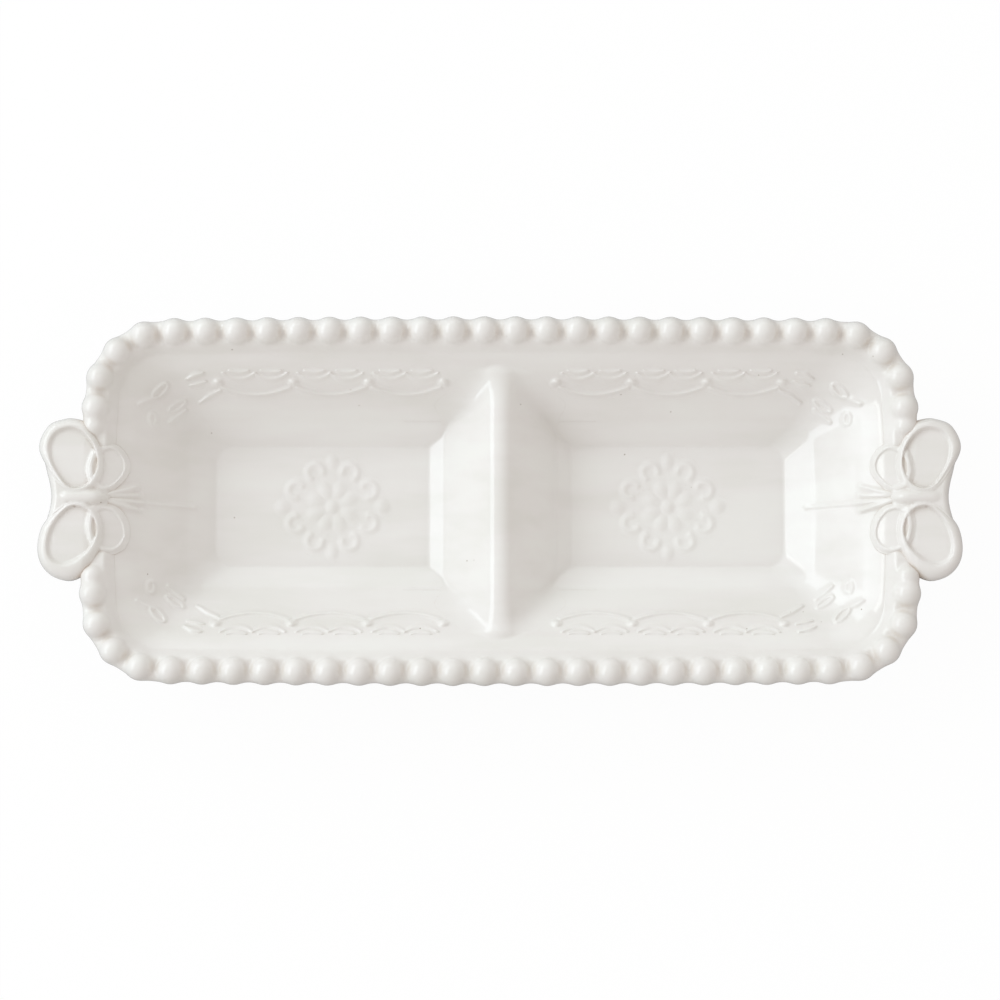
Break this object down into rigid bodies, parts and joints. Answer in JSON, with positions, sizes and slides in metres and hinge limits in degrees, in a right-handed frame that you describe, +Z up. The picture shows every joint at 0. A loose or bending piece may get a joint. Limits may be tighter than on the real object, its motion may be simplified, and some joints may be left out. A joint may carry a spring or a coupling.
{
  "type": "two-section serving dish",
  "caption": "Long rectangular glazed serving dish with paired sloped basins, a cross ridge, a beaded rim and butterfly handles at its ends.",
  "frame": {"origin": "middle of the dish on the table plane under its foot ring", "axes": "+X along the dish to its right handle, +Y to its back long side, +Z up"},
  "size_m": [0.3564, 0.1426, 0.0422],
  "materials": {
    "glaze": "warm white glossy glaze"
  },
  "bodies": {
    "root": {"dish_body": "glaze", "divider": "glaze", "foot_ring": "glaze", "back_beads": "glaze", "front_beads": "glaze", "left_back_beads": "glaze", "left_front_beads": "glaze", "right_back_beads": "glaze", "right_front_beads": "glaze", "left_handle_tab": "glaze", "left_butterfly_body": "glaze", "left_back_wing": "glaze", "left_back_inner_wing": "glaze", "left_back_antenna": "glaze", "left_front_wing": "glaze", "left_front_inner_wing": "glaze", "left_front_antenna": "glaze", "right_handle_tab": "glaze", "right_butterfly_body": "glaze", "right_back_wing": "glaze", "right_back_inner_wing": "glaze", "right_back_antenna": "glaze", "right_front_wing": "glaze", "right_front_inner_wing": "glaze", "right_front_antenna": "glaze", "left_medallion": "glaze", "right_medallion": "glaze", "left_back_swag": "glaze", "left_front_swag": "glaze", "right_back_swag": "glaze", "right_front_swag": "glaze"}
  },
  "joints": []
}
